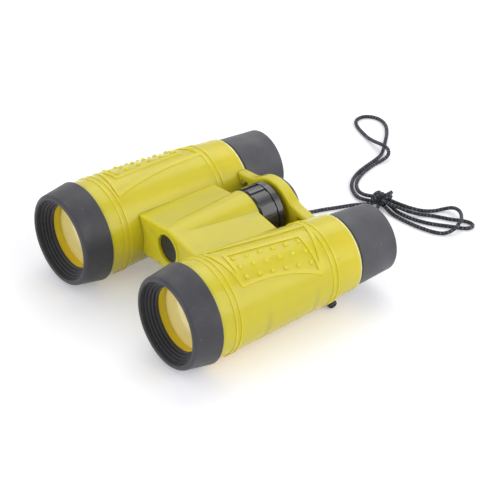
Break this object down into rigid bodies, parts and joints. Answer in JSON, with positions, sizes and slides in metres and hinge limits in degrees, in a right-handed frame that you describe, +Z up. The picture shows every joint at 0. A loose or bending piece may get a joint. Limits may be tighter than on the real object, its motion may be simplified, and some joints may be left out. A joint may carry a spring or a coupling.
{
  "type": "toy binoculars",
  "caption": "Child's binoculars: tapered yellow plastic barrels on a rigid bridge, rubber hoods and eyecups, centre wheel that slides the eyepieces, folded neck cord.",
  "frame": {"origin": "on the table, below the middle of the binoculars without their cord", "axes": "+X across to the right-hand barrel, -Y the way the objectives face, +Z up from the table"},
  "size_m": [0.1206, 0.1809, 0.04],
  "materials": {
    "yellow_plastic": "glossy, slightly translucent moulded plastic",
    "charcoal_rubber": "matte soft rubber",
    "black_plastic": "satin moulded plastic",
    "lens": "clear polished",
    "screw_steel": "plain zinc-plated steel",
    "cord": "round braided cord"
  },
  "bodies": {
    "body": {"right_barrel": "yellow_plastic", "left_barrel": "yellow_plastic", "right_objective_lens": "lens", "left_objective_lens": "lens", "right_objective_lens_ring": "yellow_plastic", "left_objective_lens_ring": "yellow_plastic", "right_objective_hood": "charcoal_rubber", "left_objective_hood": "charcoal_rubber", "right_stopper_knot": "cord", "left_stopper_knot": "cord", "bridge_housing": "yellow_plastic", "bridge_base": "black_plastic", "base_screws": "screw_steel", "rear_yoke": "yellow_plastic", "yoke_screws": "screw_steel", "right_strand": "cord", "left_strand": "cord", "wrist_loop": "cord", "upper_fold": "cord", "lower_fold": "cord", "cord_knot": "cord"},
    "wheel": {"focus_wheel": "black_plastic", "focus_shaft": "black_plastic", "shaft_cap": "black_plastic"},
    "eyepieces": {"focus_carriage": "black_plastic", "carriage_screws": "screw_steel", "right_eyepiece_tube": "black_plastic", "left_eyepiece_tube": "black_plastic", "right_eye_lens": "lens", "left_eye_lens": "lens", "right_eye_lens_ring": "black_plastic", "left_eye_lens_ring": "black_plastic", "right_eyecup": "charcoal_rubber", "left_eyecup": "charcoal_rubber"}
  },
  "joints": [
    {"name": "focus_turn", "type": "hinge", "parent": "body", "child": "wheel", "pos_m": [0, 0.01925, 0.0243], "axis": [0, 1, 0], "range_deg": [0, 300]},
    {"name": "eyepiece_slide", "type": "slide", "parent": "body", "child": "eyepieces", "axis": [0, 1, 0], "range_m": [0, 0.005]}
  ],
  "couplings": [
    {"joint": "focus_turn", "follows": "eyepiece_slide", "rad_per_m": 1047}
  ]
}
